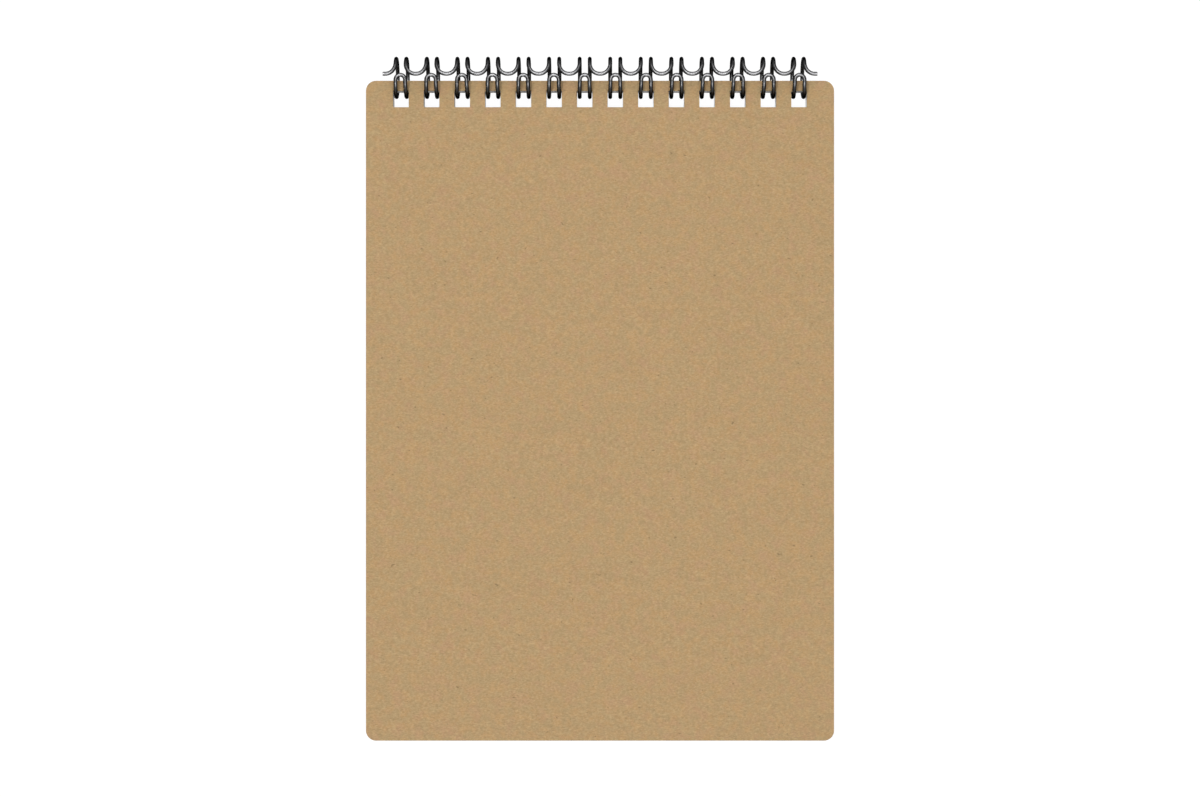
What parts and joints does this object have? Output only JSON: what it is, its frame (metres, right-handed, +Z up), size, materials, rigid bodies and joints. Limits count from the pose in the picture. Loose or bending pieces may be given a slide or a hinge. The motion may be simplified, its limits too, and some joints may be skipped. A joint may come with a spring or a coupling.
{
  "type": "spiral notebook",
  "caption": "Blank notebook with brown board covers, bound along its top edge by a black twin-loop wire comb.",
  "frame": {"origin": "on the table, at the middle of the notebook's width and of its overall length, binding included", "axes": "+X along the bound edge to the right as seen from above, +Y from the open end towards the binding, +Z up from the table"},
  "size_m": [0.1294, 0.1893, 0.0117],
  "materials": {
    "cover_board": "matt brown kraft board",
    "sheets": "plain white writing paper",
    "wire_enamel": "glossy black enamel"
  },
  "bodies": {
    "pages": {"page_block": "sheets"},
    "front": {"front_cover": "cover_board"},
    "back": {"back_cover": "cover_board"},
    "comb": {"binding_wire": "wire_enamel"}
  },
  "joints": [
    {"name": "front_cover_hinge", "type": "hinge", "parent": "pages", "child": "front", "pos_m": [0, 0.08882, 0.00585], "axis": [-1, 0, 0], "range_deg": [0, 180]},
    {"name": "comb_turn", "type": "hinge", "parent": "pages", "child": "comb", "pos_m": [0, 0.08882, 0.00585], "axis": [-1, 0, 0], "range_deg": [0, 136]},
    {"name": "back_cover_hinge", "type": "hinge", "parent": "pages", "child": "back", "pos_m": [0, 0.08882, 0.00585], "axis": [1, 0, 0], "range_deg": [0, 180]}
  ],
  "couplings": [
    {"joint": "comb_turn", "follows": "front_cover_hinge", "ratio": 0.75}
  ]
}
